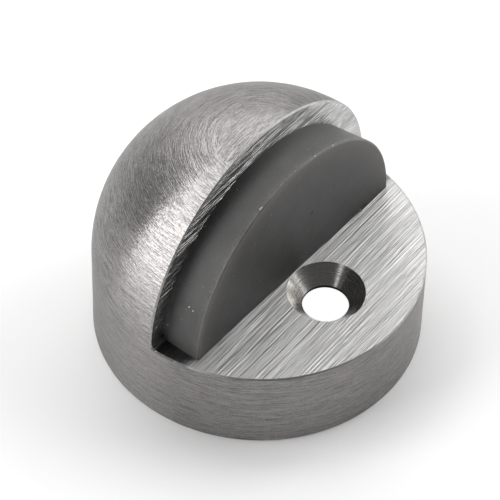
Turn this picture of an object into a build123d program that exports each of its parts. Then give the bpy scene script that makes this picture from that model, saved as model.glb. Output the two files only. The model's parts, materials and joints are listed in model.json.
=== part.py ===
from build123d import *
from math import radians, tan
import os

# Floor-mounted dome door stop, in millimetres.
# The origin is the centre of the foot on the floor, +Z is up, and the bumper faces -Y, towards the door.

# Metal body: a round base that rises into a dome, with the front half of the dome cut away
base_diameter = 44.45
ledge_height = 12.7
wall = 3.0
step_radius = 0.8
edge_break = 0.2
foot_break = 0.2
core_relief = 1.2

# Countersunk hole through the ledge for the floor screw
screw_hole_diameter = 6.2
screw_hole_land = 0.4
countersink_diameter = 10.4
countersink_angle = 82.0
countersink_margin = 0.1

# Rubber bumper: a half-moon pad that stands on the ledge, with a snap-in boss on its back
face_margin = 2.4
bumper_thickness = 6.0
crown_drop = 1.15
bumper_edge_break = 0.2
boss_inset = 8.5
boss_rise = 4.0
boss_corner_radius = 1.0
boss_clearance = 0.1
lip_overhang = 1.0
lip_thickness = 1.6
lip_chamfer = 0.6

base_radius = base_diameter / 2
overall_height = ledge_height + base_radius
bumper_radius = base_radius - face_margin
screw_hole_radius = screw_hole_diameter / 2
countersink_radius = countersink_diameter / 2
countersink_depth = (countersink_radius - screw_hole_radius) / tan(radians(countersink_angle / 2))
ledge_thickness = countersink_depth + screw_hole_land
screw_setback = bumper_thickness + countersink_margin + countersink_radius


def stepped_dome(radius, step_height, face_y, corner_radius, rim_chamfer):
    """A round post with a half-ball top, cut away in front of face_y and above step_height."""
    side = Line((radius, 0), (radius, ledge_height))
    crown = CenterArc((0, ledge_height), radius, 0, 90)
    axis_and_foot = Polyline((0, ledge_height + radius), (0, 0), (radius, 0))
    post = revolve(Plane.XZ * make_face([side, crown, axis_and_foot]), Axis.Z)

    front = Pos(0, face_y, step_height) * Box(
        base_diameter,
        base_diameter,
        overall_height,
        align=(Align.CENTER, Align.MAX, Align.MIN),
    )
    front_corner = front.faces().sort_by(Axis.Z)[0].edges().sort_by(Axis.Y)[-1]
    stepped = post - fillet(front_corner, corner_radius)

    floor = stepped.faces().filter_by(Axis.Z).sort_by(Axis.Z)[-1]
    face = stepped.faces().filter_by(Axis.Y)[0]
    corner = stepped.faces().filter_by(GeomType.CYLINDER).sort_by(SortBy.AREA)[0]
    rim = (floor.edges() + corner.edges() + face.edges()).filter_by(Axis.X, reverse=True)
    return chamfer(rim, rim_chamfer)


def half_moon(radius, rise):
    """Upright half-moon outline, flat side down, raised above the ledge."""
    disc = Pos(0, ledge_height) * Circle(radius)
    below = Pos(0, ledge_height + rise) * Rectangle(
        2 * radius, 2 * radius, align=(Align.CENTER, Align.MAX)
    )
    return disc - below


def boss_outline(growth):
    """The boss's outline, grown all round for the slot's clearance or the lip's overhang."""
    outline = half_moon(bumper_radius - boss_inset + growth, boss_rise - growth)
    return fillet(outline.vertices(), boss_corner_radius + growth)


def behind_face(outline, start_y, depth):
    """Extrude an upright outline backwards into the dome, from start_y."""
    return extrude(Plane.XZ.offset(-start_y) * outline, amount=-depth)


def screw_hole():
    """The shank's hole and the countersink for the head, cut down from the ledge."""
    centre = Pos(0, -screw_setback, ledge_height)
    shank = centre * Cylinder(screw_hole_radius, 2 * ledge_thickness)
    head = centre * Cone(
        screw_hole_radius,
        countersink_radius,
        countersink_depth,
        align=(Align.CENTER, Align.CENTER, Align.MAX),
    )
    return shank + head


def dome_body():
    """One casting, hollow below, with a slot for the bumper's boss through its front wall."""
    outside = stepped_dome(base_radius, ledge_height, 0, step_radius, edge_break)
    foot_edge = outside.edges().sort_by(Axis.Z)[0]
    outside = chamfer(foot_edge, foot_break)

    core_height = ledge_height - ledge_thickness
    core = stepped_dome(base_radius - wall, core_height, wall, core_relief, core_relief)
    slot = behind_face(boss_outline(boss_clearance), 0, wall)
    return outside - core - slot - screw_hole()


def rubber_bumper():
    """One moulding: the pad, whose crown falls towards the dome, the boss and the lip behind it."""
    disc = Plane.XZ * Pos(0, ledge_height - crown_drop) * Circle(bumper_radius)
    rise = Vector(0, -bumper_thickness, crown_drop)
    round_pad = extrude(disc, amount=rise.length, dir=rise)
    pad = split(round_pad, Plane.XY.offset(ledge_height), keep=Keep.TOP)
    front_edge = pad.faces().sort_by(Axis.Y)[0].edges().sort_by(Axis.Z)[-1]
    pad = chamfer(front_edge, bumper_edge_break)
    seat_edge = pad.faces().sort_by(Axis.Z)[0].edges().sort_by(Axis.Y)[-1]
    pad = chamfer(seat_edge, step_radius)

    lip_start = wall + boss_clearance
    boss = behind_face(boss_outline(0), 0, lip_start)
    lip = behind_face(boss_outline(lip_overhang), lip_start, lip_thickness)
    lip = chamfer(lip.faces().sort_by(Axis.Y)[-1].edges(), lip_chamfer)
    return pad + boss + lip


os.makedirs("parts", exist_ok=True)
export_step(dome_body(), "parts/dome_body.step")
export_step(rubber_bumper(), "parts/rubber_bumper.step")
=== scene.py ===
import json
import math

import bpy
from mathutils import Matrix, Vector


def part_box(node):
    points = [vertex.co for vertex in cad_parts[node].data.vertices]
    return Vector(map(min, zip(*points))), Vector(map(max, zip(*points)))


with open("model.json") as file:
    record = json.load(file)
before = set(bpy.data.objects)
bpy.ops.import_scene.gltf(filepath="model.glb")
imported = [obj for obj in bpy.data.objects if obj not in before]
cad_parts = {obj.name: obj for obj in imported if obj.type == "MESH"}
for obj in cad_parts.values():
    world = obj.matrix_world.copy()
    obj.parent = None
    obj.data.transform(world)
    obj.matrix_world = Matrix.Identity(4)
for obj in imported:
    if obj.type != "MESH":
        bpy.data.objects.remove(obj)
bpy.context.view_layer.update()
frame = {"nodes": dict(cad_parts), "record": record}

# Dome body: one hollow steel casting. Its outside was brushed by hand while it turned, so short strokes
# run round the upright axis; the ledge and the upright face were ground flat, with strokes across the
# stop. A countersunk floor screw through the ledge holds it down.
body = frame["nodes"]["dome_body"]
body_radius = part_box("dome_body")[1].x
pad_low, pad_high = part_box("rubber_bumper")
pad_front_mm = pad_low.y * 1000
ledge_height = pad_low.z
hole_mount = next(mount for mount in frame["record"]["mounts"] if mount["name"] == "screw_hole")
hole_centre = Vector(hole_mount["pos_m"])
countersink_radius = 0.0052
casting_wall = 0.003
edge_width = 0.0003
flat_tolerance = 1e-5
base_fade_mm = (9.0, 16.0)
base_stroke_scale = 0.55
base_calm = 0.4
dome_top_reach_mm = 5.7
ledge_skew = 0.035
# Share of painted shade laid on the ledge behind the pad's front face.
corner_shade = 0.7
turned_tones = ((0.147, 0.142, 0.139, 1.0), (0.386, 0.372, 0.366, 1.0))
turned_middle_tone = [(dark + light) / 2 for dark, light in zip(*turned_tones)]
turned_edge_tint = (0.8, 0.8, 0.8, 1.0)
ground_tones = ((0.305, 0.302, 0.3, 1.0), (0.49, 0.487, 0.484, 1.0))
filed_tones = ((0.16, 0.158, 0.156, 1.0), (0.9, 0.895, 0.89, 1.0))
countersunk_tones = ((0.54, 0.525, 0.495, 1.0), (0.72, 0.707, 0.68, 1.0))
cast_tones = ((0.16, 0.155, 0.15, 1.0), (0.24, 0.235, 0.23, 1.0))
edge_tones = ((0.34, 0.335, 0.33, 1.0), (0.48, 0.475, 0.47, 1.0))
# Near black: oil on the screw hole's wall, and painted shade in it.
bore_oil_and_shade_tones = ((0.04, 0.039, 0.037, 1.0), (0.08, 0.078, 0.075, 1.0))
# Near black: the pits in the countersink, and the painted shade on the ledge behind the pad.
pit_and_shade_tone = (0.03, 0.03, 0.03, 1.0)
countersink_pits_mm = ((-1.96, -7.54, 11.6), (1.33, -6.33, 12.62))
pit_radius_mm = 0.13


def add_node(tree, kind, inputs=(), **settings):
    """Adds a shader node with its settings, and its inputs as values or as sockets to link."""
    made = tree.nodes.new(kind)
    for name, value in settings.items():
        setattr(made, name, value)
    for name, value in dict(inputs).items():
        if isinstance(value, bpy.types.NodeSocket):
            tree.links.new(value, made.inputs[name])
        else:
            made.inputs[name].default_value = value
    return made


def calculate(tree, operation, first, second=0.0, clamp=False):
    """The result of one Math node."""
    made = add_node(tree, "ShaderNodeMath", {0: first, 1: second}, operation=operation, use_clamp=clamp)
    return made.outputs[0]


def spread(tree, value, low, high, to_low=0.0, to_high=1.0):
    """A value between low and high, mapped to the range from to_low to to_high."""
    ends = {"Value": value, "From Min": low, "From Max": high, "To Min": to_low, "To Max": to_high}
    return add_node(tree, "ShaderNodeMapRange", ends).outputs[0]


def blend(tree, share, first, second):
    """A share of the second colour over the first."""
    made = add_node(tree, "ShaderNodeMix", {0: share, 6: first, 7: second}, data_type="RGBA")
    return made.outputs[2]


def vector(tree, x=0.0, y=0.0, z=0.0):
    """Three values as one vector."""
    return add_node(tree, "ShaderNodeCombineXYZ", {0: x, 1: y, 2: z}).outputs[0]


def grain(tree, place, scale, detail=1.0):
    """Noise between 0 and 1, with features of about 1 / scale."""
    made = add_node(tree, "ShaderNodeTexNoise", {"Vector": place, "Scale": scale, "Detail": detail})
    return made.outputs["Fac"]


def brush_marks_group():
    """Strokes that run along X and Y of a vector in millimetres and lie side by side along its Z."""
    tree = bpy.data.node_groups.new("brush_marks", "ShaderNodeTree")
    tree.interface.new_socket("Vector", in_out="INPUT", socket_type="NodeSocketVector")
    for name in ("Stroke Length", "Stroke Width", "Wander"):
        tree.interface.new_socket(name, in_out="INPUT", socket_type="NodeSocketFloat")
    for name in ("Height", "Tone"):
        tree.interface.new_socket(name, in_out="OUTPUT", socket_type="NodeSocketFloat")
    given = tree.nodes.new("NodeGroupInput").outputs
    result = tree.nodes.new("NodeGroupOutput").inputs
    x, y, across = add_node(tree, "ShaderNodeSeparateXYZ", {0: given["Vector"]}).outputs
    swerve = calculate(tree, "SUBTRACT", grain(tree, given["Vector"], 0.35), 0.5)
    swerve = calculate(tree, "MULTIPLY", swerve, given["Wander"])

    def strokes(length, width, swerving):
        shifted = calculate(tree, "ADD", across, calculate(tree, "MULTIPLY", swerve, swerving))
        laid = vector(
            tree,
            calculate(tree, "DIVIDE", x, length),
            calculate(tree, "DIVIDE", y, length),
            calculate(tree, "DIVIDE", shifted, width),
        )
        return spread(tree, grain(tree, laid, 1.0, 0.0), 0.3, 0.7)

    def times(name, factor):
        return calculate(tree, "MULTIPLY", given[name], factor)

    def mixed(*parts):
        total = 0.0
        for marks, share in parts:
            total = calculate(tree, "ADD", total, calculate(tree, "MULTIPLY", marks, share))
        return total

    long_marks = strokes(times("Stroke Length", 1.0), times("Stroke Width", 1.1), 1.0)
    middling_marks = strokes(times("Stroke Length", 0.25), times("Stroke Width", 1.0), -1.0)
    short_marks = strokes(times("Stroke Length", 0.06), times("Stroke Width", 0.9), 0.5)
    patches = strokes(times("Stroke Length", 2.5), times("Stroke Width", 8.0), 0.0)
    height = mixed((long_marks, 0.6), (middling_marks, 0.4))
    tone = mixed((height, 0.64), (short_marks, 0.3), (patches, 0.06))
    tree.links.new(height, result["Height"])
    tree.links.new(tone, result["Tone"])
    return tree


brush_marks = brush_marks_group()


def brushed_steel(name, layout, tones, length, width, wander, depth, roughness, anisotropy):
    """A brushed finish; the layout gives the strokes' place and direction, sizes are in millimetres."""
    material = bpy.data.materials.new(name)
    material.use_nodes = True
    tree = material.node_tree
    shader = tree.nodes["Principled BSDF"]
    shader.inputs["Metallic"].default_value = 1.0
    shader.inputs["Anisotropic"].default_value = anisotropy
    shader.inputs["Anisotropic Rotation"].default_value = 0.25
    place, direction = layout(tree)
    marks = add_node(tree, "ShaderNodeGroup", node_tree=brush_marks)
    marks.inputs["Stroke Length"].default_value = length
    marks.inputs["Stroke Width"].default_value = width
    marks.inputs["Wander"].default_value = wander
    tree.links.new(place, marks.inputs["Vector"])
    colour = blend(tree, spread(tree, marks.outputs["Tone"], 0.2, 0.8), *tones)
    rough = spread(tree, marks.outputs["Height"], 0.2, 0.8, roughness + 0.03, roughness - 0.03)
    bump = {"Distance": depth / 1000, "Height": marks.outputs["Height"]}
    relief = add_node(tree, "ShaderNodeBump", bump)
    tree.links.new(colour, shader.inputs["Base Color"])
    tree.links.new(rough, shader.inputs["Roughness"])
    tree.links.new(relief.outputs[0], shader.inputs["Normal"])
    tree.links.new(direction, shader.inputs["Tangent"])
    return material


def position_mm(tree):
    """The stop's own coordinates, in millimetres."""
    place = add_node(tree, "ShaderNodeTexCoord").outputs["Object"]
    scaled = add_node(tree, "ShaderNodeVectorMath", {0: place, 3: 1000.0}, operation="SCALE")
    return add_node(tree, "ShaderNodeSeparateXYZ", {0: scaled.outputs[0]}).outputs


def add_spots(material, places_mm, radius_mm, tone):
    """Ragged little marks of one tone over a material's colour, at places in millimetres."""
    tree = material.node_tree
    base_colour = tree.nodes["Principled BSDF"].inputs["Base Color"]
    place = vector(tree, *position_mm(tree))
    ragged = calculate(tree, "MULTIPLY", grain(tree, place, 0.7 / radius_mm), radius_mm)
    for centre in places_mm:
        away = add_node(tree, "ShaderNodeVectorMath", {0: place, 1: centre}, operation="DISTANCE")
        reach = calculate(tree, "ADD", away.outputs["Value"], ragged)
        inside = calculate(tree, "LESS_THAN", reach, 1.5 * radius_mm)
        tree.links.new(blend(tree, inside, base_colour.links[0].from_socket, tone), base_colour)


def shade_corners(material, tone):
    """Painted shade on the ledge strips at the pad's ends, behind its front face, where pad and dome
    shade them.
    """
    tree = material.node_tree
    base_colour = tree.nodes["Principled BSDF"].inputs["Base Color"]
    y = position_mm(tree)[1]
    shaded_corner = spread(tree, y, pad_front_mm + 0.2, pad_front_mm + 1.0, 0.0, corner_shade)
    tree.links.new(blend(tree, shaded_corner, base_colour.links[0].from_socket, tone), base_colour)


def calm_base(material, tone):
    """Fainter strokes on the base than on the dome: a share of their middle tone laid over them."""
    tree = material.node_tree
    base_colour = tree.nodes["Principled BSDF"].inputs["Base Color"]
    z = position_mm(tree)[2]
    calmed = spread(tree, z, *base_fade_mm, base_calm, 0.0)
    tree.links.new(blend(tree, calmed, base_colour.links[0].from_socket, tone), base_colour)


def round_the_axis(tree):
    """Strokes round the upright axis, longer on the base than on the dome, straight across its top."""
    x, y, z = position_mm(tree)
    above = calculate(tree, "SUBTRACT", z, ledge_height * 1000)
    rise = calculate(tree, "DIVIDE", above, body_radius * 1000, clamp=True)
    over_dome = calculate(tree, "MULTIPLY", calculate(tree, "ARCSINE", rise), body_radius * 1000)
    climb = calculate(tree, "ADD", calculate(tree, "MINIMUM", z, ledge_height * 1000), over_dome)
    stroke_scale = spread(tree, z, *base_fade_mm, base_stroke_scale, 1.0)
    along_x = calculate(tree, "MULTIPLY", x, stroke_scale)
    along_y = calculate(tree, "MULTIPLY", y, stroke_scale)
    ring = vector(tree, along_x, along_y, climb)
    level = vector(tree, x, y)
    from_axis = add_node(tree, "ShaderNodeVectorMath", {0: level}, operation="LENGTH").outputs["Value"]
    ragged = calculate(tree, "MULTIPLY", grain(tree, ring, 0.5, 2.0), 3.0)
    reach = calculate(tree, "ADD", from_axis, ragged)
    on_top = calculate(tree, "LESS_THAN", reach, dome_top_reach_mm + 1.5)
    place = blend(tree, on_top, ring, vector(tree, x, z=y))
    outward_x = calculate(tree, "DIVIDE", x, from_axis)
    outward_y = calculate(tree, "DIVIDE", y, from_axis)
    around = vector(tree, calculate(tree, "MULTIPLY", outward_y, -1.0), outward_x)
    nearly_on_top = spread(tree, reach, dome_top_reach_mm, dome_top_reach_mm + 3.0, 1.0, 0.0)
    return place, blend(tree, nearly_on_top, around, vector(tree, -1.0))


def across_the_stop(tree):
    """Straight strokes along X, a little askew, side by side over the ledge and up the face."""
    x, y, z = position_mm(tree)
    across = calculate(tree, "ADD", y, z)
    across = calculate(tree, "SUBTRACT", across, calculate(tree, "MULTIPLY", x, ledge_skew))
    return vector(tree, x, z=across), vector(tree, 1.0, ledge_skew)


def round_the_hole(tree):
    """Strokes round the screw hole's axis, side by side down the countersink."""
    x, y, z = position_mm(tree)
    y = calculate(tree, "SUBTRACT", y, hole_centre.y * 1000)
    return vector(tree, x, y, z), vector(tree, calculate(tree, "MULTIPLY", y, -1.0), x)


finishes = {
    "turned": brushed_steel(
        "turned_steel",
        round_the_axis,
        turned_tones,
        length=2.0,
        width=0.11,
        wander=0.2,
        depth=0.028,
        roughness=0.33,
        anisotropy=0.82,
    ),
    "ground": brushed_steel(
        "ground_steel",
        across_the_stop,
        ground_tones,
        length=28.0,
        width=0.12,
        wander=0.1,
        depth=0.085,
        roughness=0.36,
        anisotropy=0.78,
    ),
    "filed": brushed_steel(
        "filed_steel",
        across_the_stop,
        filed_tones,
        length=20.0,
        width=0.12,
        wander=0.1,
        depth=0.15,
        roughness=0.28,
        anisotropy=0.6,
    ),
    "countersunk": brushed_steel(
        "countersunk_steel",
        round_the_hole,
        countersunk_tones,
        length=30.0,
        width=0.12,
        wander=0.02,
        depth=0.003,
        roughness=0.25,
        anisotropy=0.6,
    ),
    "cast": brushed_steel(
        "cast_steel",
        round_the_axis,
        cast_tones,
        length=0.5,
        width=0.5,
        wander=0.0,
        depth=0.1,
        roughness=0.5,
        anisotropy=0.0,
    ),
    "edge": brushed_steel(
        "edge_steel",
        round_the_axis,
        edge_tones,
        length=1.6,
        width=0.5,
        wander=0.0,
        depth=0.0,
        roughness=0.5,
        anisotropy=0.0,
    ),
    # The screw hole's wall: near black, partly oil, partly painted shade.
    "bore": brushed_steel(
        "bore_steel",
        round_the_hole,
        bore_oil_and_shade_tones,
        length=12.0,
        width=0.12,
        wander=0.0,
        depth=0.01,
        roughness=0.5,
        anisotropy=0.0,
    ),
}


def finish_of(face):
    """The name of the finish on one face of the casting."""
    place = face.center
    facing = face.normal
    outward = math.hypot(place.x, place.y, max(place.z - ledge_height, 0.0))
    from_hole = math.hypot(place.x, place.y - hole_centre.y)
    below_ledge = place.z < ledge_height - flat_tolerance
    if from_hole < countersink_radius and below_ledge and facing.z > -0.5:
        return "countersunk" if facing.z > 0.3 else "bore"
    if facing.z > 0.99 and abs(place.z - ledge_height) < flat_tolerance:
        return "ground"
    if facing.y < -0.99 and abs(place.y) < flat_tolerance:
        return "filed"
    if outward < body_radius - casting_wall / 2:
        in_corner = place.z > ledge_height and abs(place.y) < 0.001
        return "filed" if in_corner else "cast"
    slanting = facing.z > 0.5 and abs(place.z - ledge_height) < edge_width and place.y < 0
    if slanting and place.y > pad_low.y:
        return "ground"
    chamfered = facing.y < -0.5 and abs(place.y) < edge_width
    return "edge" if slanting or chamfered else "turned"


turned_shader = finishes["turned"].node_tree.nodes["Principled BSDF"]
turned_shader.inputs["Specular Tint"].default_value = turned_edge_tint
calm_base(finishes["turned"], turned_middle_tone)
# Painted shade on the ledge strips at the pad's ends, behind its front face.
shade_corners(finishes["ground"], pit_and_shade_tone)
add_spots(finishes["countersunk"], countersink_pits_mm, pit_radius_mm, pit_and_shade_tone)
body.data.materials.clear()
for finish in finishes.values():
    body.data.materials.append(finish)
finish_names = list(finishes)
for face in body.data.polygons:
    face.material_index = finish_names.index(finish_of(face))

# Rubber bumper: one dark grey rubber moulding, a half-moon pad that stands on the ledge and takes the
# knock of the door. A boss on its back snaps through a slot in the body's front wall.
bumper = frame["nodes"]["rubber_bumper"]
rubber_dark = (0.043, 0.043, 0.042, 1.0)
rubber_light = (0.07, 0.0695, 0.068, 1.0)
# Painted light: a lighter, warmer band along the front face's curved edge.
rubber_rim_light = (0.105, 0.097, 0.086, 1.0)
# Pale rubber: the painted highlight along the front edge, and the scuffs near it.
rubber_edge_highlight_and_scuff = (0.17, 0.163, 0.152, 1.0)
dust = (0.24, 0.237, 0.23, 1.0)
nick_pale = (0.5, 0.49, 0.47, 1.0)
# Near black: painted shade in small dents on the front face, and in the gap under its foot at the right.
painted_dent_shade = (0.008, 0.008, 0.008, 1.0)
nicks_mm = (
    (-7.4, -5.6, 31.04),
    (-7.15, -5.65, 31.12),
    (-18.27, -3.16, 19.85),
    (-18.39, -3.91, 19.71),
    (-19.47, -0.61, 15.38),
    (7.17, -5.85, 31.15),
    (3.41, -5.83, 32.2),
    (14.0, -6.0, 13.1),
)
dent_shade_spots_mm = ((3.16, -6.0, 21.67), (14.3, -6.0, 13.2), (14.7, -6.0, 13.2), (15.1, -6.0, 13.2))
pad_radius_mm = pad_high.x * 1000
nick_radius_mm = 0.11
dent_radius_mm = 0.32
rim_width_mm = 4.0
scuff_width_mm = 1.2
fleck_spacing_mm = 1.4286
fleck_share = 0.06
pore_depth = 0.00006
rubber = bpy.data.materials.new("grey_rubber")
rubber.use_nodes = True
rubber_tree = rubber.node_tree
rubber_shader = rubber_tree.nodes["Principled BSDF"]
x, y, z = position_mm(rubber_tree)
rubber_place = vector(rubber_tree, x, y, z)
z_above = calculate(rubber_tree, "SUBTRACT", z, ledge_height * 1000)
from_middle = add_node(
    rubber_tree, "ShaderNodeVectorMath", {0: vector(rubber_tree, x, z_above)}, operation="LENGTH"
).outputs["Value"]
forward = spread(rubber_tree, y, pad_front_mm + 0.35, pad_front_mm + 0.2)
pores = grain(rubber_tree, rubber_place, 6.0, 2.0)
clouds = spread(rubber_tree, grain(rubber_tree, rubber_place, 0.4, 4.0), 0.35, 0.65, 0.0, 0.4)
clouds = calculate(rubber_tree, "ADD", clouds, spread(rubber_tree, pores, 0.3, 0.7, 0.0, 0.6))
colour = blend(rubber_tree, clouds, rubber_dark, rubber_light)
# Painted light: the front face is lighter towards its curved edge.
painted_rim_light = spread(rubber_tree, from_middle, pad_radius_mm - rim_width_mm, pad_radius_mm)
painted_rim_light = calculate(rubber_tree, "MULTIPLY", calculate(rubber_tree, "POWER", painted_rim_light, 2.0), forward)
colour = blend(rubber_tree, painted_rim_light, colour, rubber_rim_light)
# Painted highlight: a thin pale line along the front face's curved edge, in patches.
edge_highlight = spread(rubber_tree, from_middle, pad_radius_mm - 0.35, pad_radius_mm - 0.2)
patchy = spread(rubber_tree, grain(rubber_tree, rubber_place, 0.6, 2.0), 0.35, 0.65, 0.25, 0.7)
edge_highlight = calculate(rubber_tree, "MULTIPLY", edge_highlight, patchy)
edge_highlight = calculate(rubber_tree, "MULTIPLY", edge_highlight, forward)
colour = blend(rubber_tree, edge_highlight, colour, rubber_edge_highlight_and_scuff)
scuffed = spread(rubber_tree, grain(rubber_tree, rubber_place, 2.5, 3.0), 0.4, 0.65, 0.0, 0.45)
near_front = spread(rubber_tree, y, pad_front_mm + 1.3, pad_front_mm + 0.2)
on_rim = spread(rubber_tree, from_middle, pad_radius_mm - scuff_width_mm, pad_radius_mm - 0.3)
scuffed = calculate(rubber_tree, "MULTIPLY", scuffed, near_front)
scuffed = calculate(rubber_tree, "MULTIPLY", scuffed, on_rim)
colour = blend(rubber_tree, scuffed, colour, rubber_edge_highlight_and_scuff)
fleck_cells = {"Vector": rubber_place, "Scale": 1 / fleck_spacing_mm}
flecks = add_node(rubber_tree, "ShaderNodeTexVoronoi", fleck_cells)
fleck = calculate(rubber_tree, "LESS_THAN", flecks.outputs["Distance"], fleck_share)
colour = blend(rubber_tree, fleck, colour, dust)
rubber_tree.links.new(colour, rubber_shader.inputs["Base Color"])
add_spots(rubber, nicks_mm, nick_radius_mm, nick_pale)
# Painted shade: dark spots for dents and for the gap under the pad's foot.
add_spots(rubber, dent_shade_spots_mm, dent_radius_mm, painted_dent_shade)
rubber_rough = spread(rubber_tree, pores, 0.3, 0.7, 0.42, 0.54)
rubber_tree.links.new(rubber_rough, rubber_shader.inputs["Roughness"])
rubber_relief = add_node(rubber_tree, "ShaderNodeBump", {"Distance": pore_depth, "Height": pores})
rubber_tree.links.new(rubber_relief.outputs[0], rubber_shader.inputs["Normal"])
bumper.data.materials.clear()
bumper.data.materials.append(rubber)

# Floor: a plain white sheet. It glows a little, so that it stays white out to its edges. In the shade
# under the foot, one round patch glows as white as the lit sheet, where the screw hole looks down on it.
floor_half = 1.5
patch_centre = (0.007, -0.006, 0.0)
patch_radius = 0.0048
sheet_glow = 0.1
bpy.ops.mesh.primitive_plane_add(size=2 * floor_half, location=(0, 0, 0))
floor = bpy.context.object
floor.name = "floor"
floor_white = bpy.data.materials.new("floor_white")
floor_white.use_nodes = True
floor_tree = floor_white.node_tree
floor_shader = floor_tree.nodes["Principled BSDF"]
floor_shader.inputs["Base Color"].default_value = (0.9, 0.9, 0.9, 1.0)
floor_shader.inputs["Roughness"].default_value = 0.9
floor_place = add_node(floor_tree, "ShaderNodeTexCoord").outputs["Object"]
from_patch = add_node(
    floor_tree, "ShaderNodeVectorMath", {0: floor_place, 1: patch_centre}, operation="DISTANCE"
)
rays = add_node(floor_tree, "ShaderNodeLightPath").outputs
seen = calculate(floor_tree, "ADD", rays["Is Camera Ray"], rays["Is Glossy Ray"])
seen = calculate(floor_tree, "ADD", seen, rays["Is Transmission Ray"], clamp=True)
on_patch = calculate(floor_tree, "LESS_THAN", from_patch.outputs["Value"], patch_radius)
glow = calculate(floor_tree, "MULTIPLY", seen, calculate(floor_tree, "MAXIMUM", on_patch, sheet_glow))
floor_shader.inputs["Emission Color"].default_value = (1.0, 1.0, 1.0, 1.0)
floor_tree.links.new(glow, floor_shader.inputs["Emission Strength"])
floor.data.materials.append(floor_white)

# Light: seven softboxes in a dim room. A wide one behind on the right, with a low and a high one beside
# it, lights the dome and the ledge; one on the left makes the bright band beside the cut edge. Two in
# front light the upright face, and a narrow strip on the left draws the streak in the countersink.
world = bpy.data.worlds.new("studio")
bpy.context.scene.world = world
world.use_nodes = True
world.node_tree.nodes["Background"].inputs["Color"].default_value = (0.08, 0.08, 0.08, 1.0)
softbox_distance = 0.75


def softbox(name, azimuth, elevation, width, height, radiance):
    """A lamp that faces the stop; azimuth is counted in degrees from +X towards +Y."""
    turn = math.radians(azimuth)
    lift = math.radians(elevation)
    toward = Vector((math.cos(turn) * math.cos(lift), math.sin(turn) * math.cos(lift), math.sin(lift)))
    lamp = bpy.data.lights.new(name, "AREA")
    lamp.shape = "RECTANGLE"
    lamp.size = width
    lamp.size_y = height
    lamp.energy = radiance * math.pi * width * height
    place = bpy.data.objects.new(name, lamp)
    place.location = toward * softbox_distance
    place.rotation_euler = toward.to_track_quat("Z", "Y").to_euler()
    bpy.context.scene.collection.objects.link(place)


softbox("back_softbox", 48, 50, 0.9, 0.7, 2.1)
softbox("low_back_softbox", 50, 12, 0.5, 0.3, 0.8)
softbox("high_back_softbox", 110, 54, 0.4, 0.3, 1.8)
softbox("left_softbox", 144, 22, 0.48, 0.62, 4.2)
softbox("front_softbox", 330, 38, 0.6, 0.5, 3.2)
softbox("low_front_softbox", 345, 8, 0.5, 0.3, 1.7)
softbox("strip_softbox", 180, 30, 0.1, 0.4, 1.0)

# Camera: the photograph's view, from above and in front on the left, solved from the stop's outline.
# A long lens keeps the perspective as slight as it is there.
azimuth = math.radians(-52.13)
elevation = math.radians(48.76)
roll = math.radians(-1.86)
distance = 0.420
aim = Vector((0, 0, 0.01334))
level = math.cos(elevation)
toward = Vector((math.sin(azimuth) * level, -math.cos(azimuth) * level, math.sin(elevation)))
right = Vector((math.cos(azimuth), math.sin(azimuth), 0))
up = toward.cross(right)
camera_x = math.cos(roll) * right - math.sin(roll) * up
camera_y = math.sin(roll) * right + math.cos(roll) * up
camera_data = bpy.data.cameras.new("camera")
camera_data.sensor_width = 36.0
camera_data.lens = 228.7
camera_data.shift_x = -0.0191
camera_data.shift_y = -0.0076
camera = bpy.data.objects.new("camera", camera_data)
place = aim + distance * toward
turn = Matrix((camera_x, camera_y, toward)).transposed().to_4x4()
camera.matrix_world = Matrix.Translation(place) @ turn
bpy.context.scene.collection.objects.link(camera)
bpy.context.scene.camera = camera

bpy.context.scene.view_settings.view_transform = "Standard"
